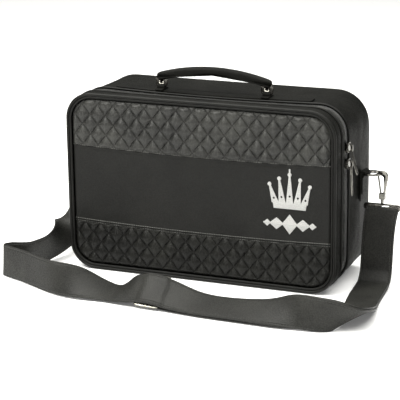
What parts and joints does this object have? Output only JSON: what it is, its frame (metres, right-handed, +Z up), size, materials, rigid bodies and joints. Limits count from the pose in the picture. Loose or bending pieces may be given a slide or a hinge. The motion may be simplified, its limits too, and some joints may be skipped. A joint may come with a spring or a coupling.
{
  "type": "tallit bag with shoulder strap",
  "caption": "Soft leather carrying bag with a quilted front, zipped lid, roll handle and a shoulder strap on snap hooks.",
  "frame": {"origin": "centre of the bag's base, on the surface it stands on", "axes": "+X along the bag's width to the zip pulls, -Y to the quilted front, +Z up"},
  "size_m": [0.5392, 0.2879, 0.2849],
  "materials": {
    "black_leather": "soft pebbled matt",
    "quilted_leather": "pebbled, quilted in diamonds",
    "piping": "smooth rolled edge",
    "strap_leather": "pebbled with stitched edges",
    "zip_cloth": "woven tape",
    "gunmetal": "polished dark nickel",
    "silver_thread": "satin embroidery thread"
  },
  "bodies": {
    "root": {"body_shell": "black_leather", "lid_gusset": "black_leather", "middle_panel": "black_leather", "top_panel": "quilted_leather", "bottom_panel": "quilted_leather", "front_piping": "piping", "lid_piping": "piping", "body_piping": "piping", "zipper_tape": "zip_cloth", "zipper_coil": "gunmetal", "crown": "silver_thread", "ornament": "silver_thread", "handle_strip": "black_leather", "shoulder_strap": "strap_leather", "strap_adjuster": "gunmetal", "handle_tab_left": "black_leather", "strap_anchor_left": "black_leather", "d_ring_left": "gunmetal", "strap_ring_left": "gunmetal", "handle_tab_right": "black_leather", "strap_anchor_right": "black_leather", "d_ring_right": "gunmetal", "strap_ring_right": "gunmetal", "zip_slider_1": "gunmetal", "zip_slider_2": "gunmetal"},
    "handle": {"handle_grip": "black_leather", "handle_ring_left": "gunmetal", "handle_ring_right": "gunmetal"},
    "pull_upper": {"zip_pull_1": "gunmetal"},
    "pull_lower": {"zip_pull_2": "gunmetal"},
    "hook_left": {"snap_hook_left": "gunmetal"},
    "hook_right": {"snap_hook_right": "gunmetal"},
    "gate_left": {"hook_gate_left": "gunmetal"},
    "gate_right": {"hook_gate_right": "gunmetal"}
  },
  "joints": [
    {"name": "handle_fold", "type": "hinge", "parent": "root", "child": "handle", "pos_m": [0, -0.0135, 0.25278], "axis": [1, 0, 0], "range_deg": [-70, 70]},
    {"name": "upper_pull_swing", "type": "hinge", "parent": "root", "child": "pull_upper", "pos_m": [0.20324, -0.0375, 0.1934], "axis": [0, 1, 0], "range_deg": [-120, 0]},
    {"name": "lower_pull_swing", "type": "hinge", "parent": "root", "child": "pull_lower", "pos_m": [0.20324, -0.0375, 0.1714], "axis": [0, 1, 0], "range_deg": [-24, 0]},
    {"name": "left_hook_swivel", "type": "hinge", "parent": "root", "child": "hook_left", "pos_m": [-0.23, 0.016, 0.115], "axis": [0, 0, 1], "range_deg": [-36, 36]},
    {"name": "right_hook_swivel", "type": "hinge", "parent": "root", "child": "hook_right", "pos_m": [0.23, 0.016, 0.115], "axis": [0, 0, 1], "range_deg": [-36, 36]},
    {"name": "left_gate_open", "type": "hinge", "parent": "hook_left", "child": "gate_left", "pos_m": [-0.2277, 0.016, 0.1229], "axis": [0, 1, 0], "range_deg": [-20, 0], "stiffness_Nm_per_rad": 0.01, "springref_deg": 17.19},
    {"name": "right_gate_open", "type": "hinge", "parent": "hook_right", "child": "gate_right", "pos_m": [0.2277, 0.016, 0.1229], "axis": [0, 1, 0], "range_deg": [0, 20], "stiffness_Nm_per_rad": 0.01, "springref_deg": -17.19}
  ]
}
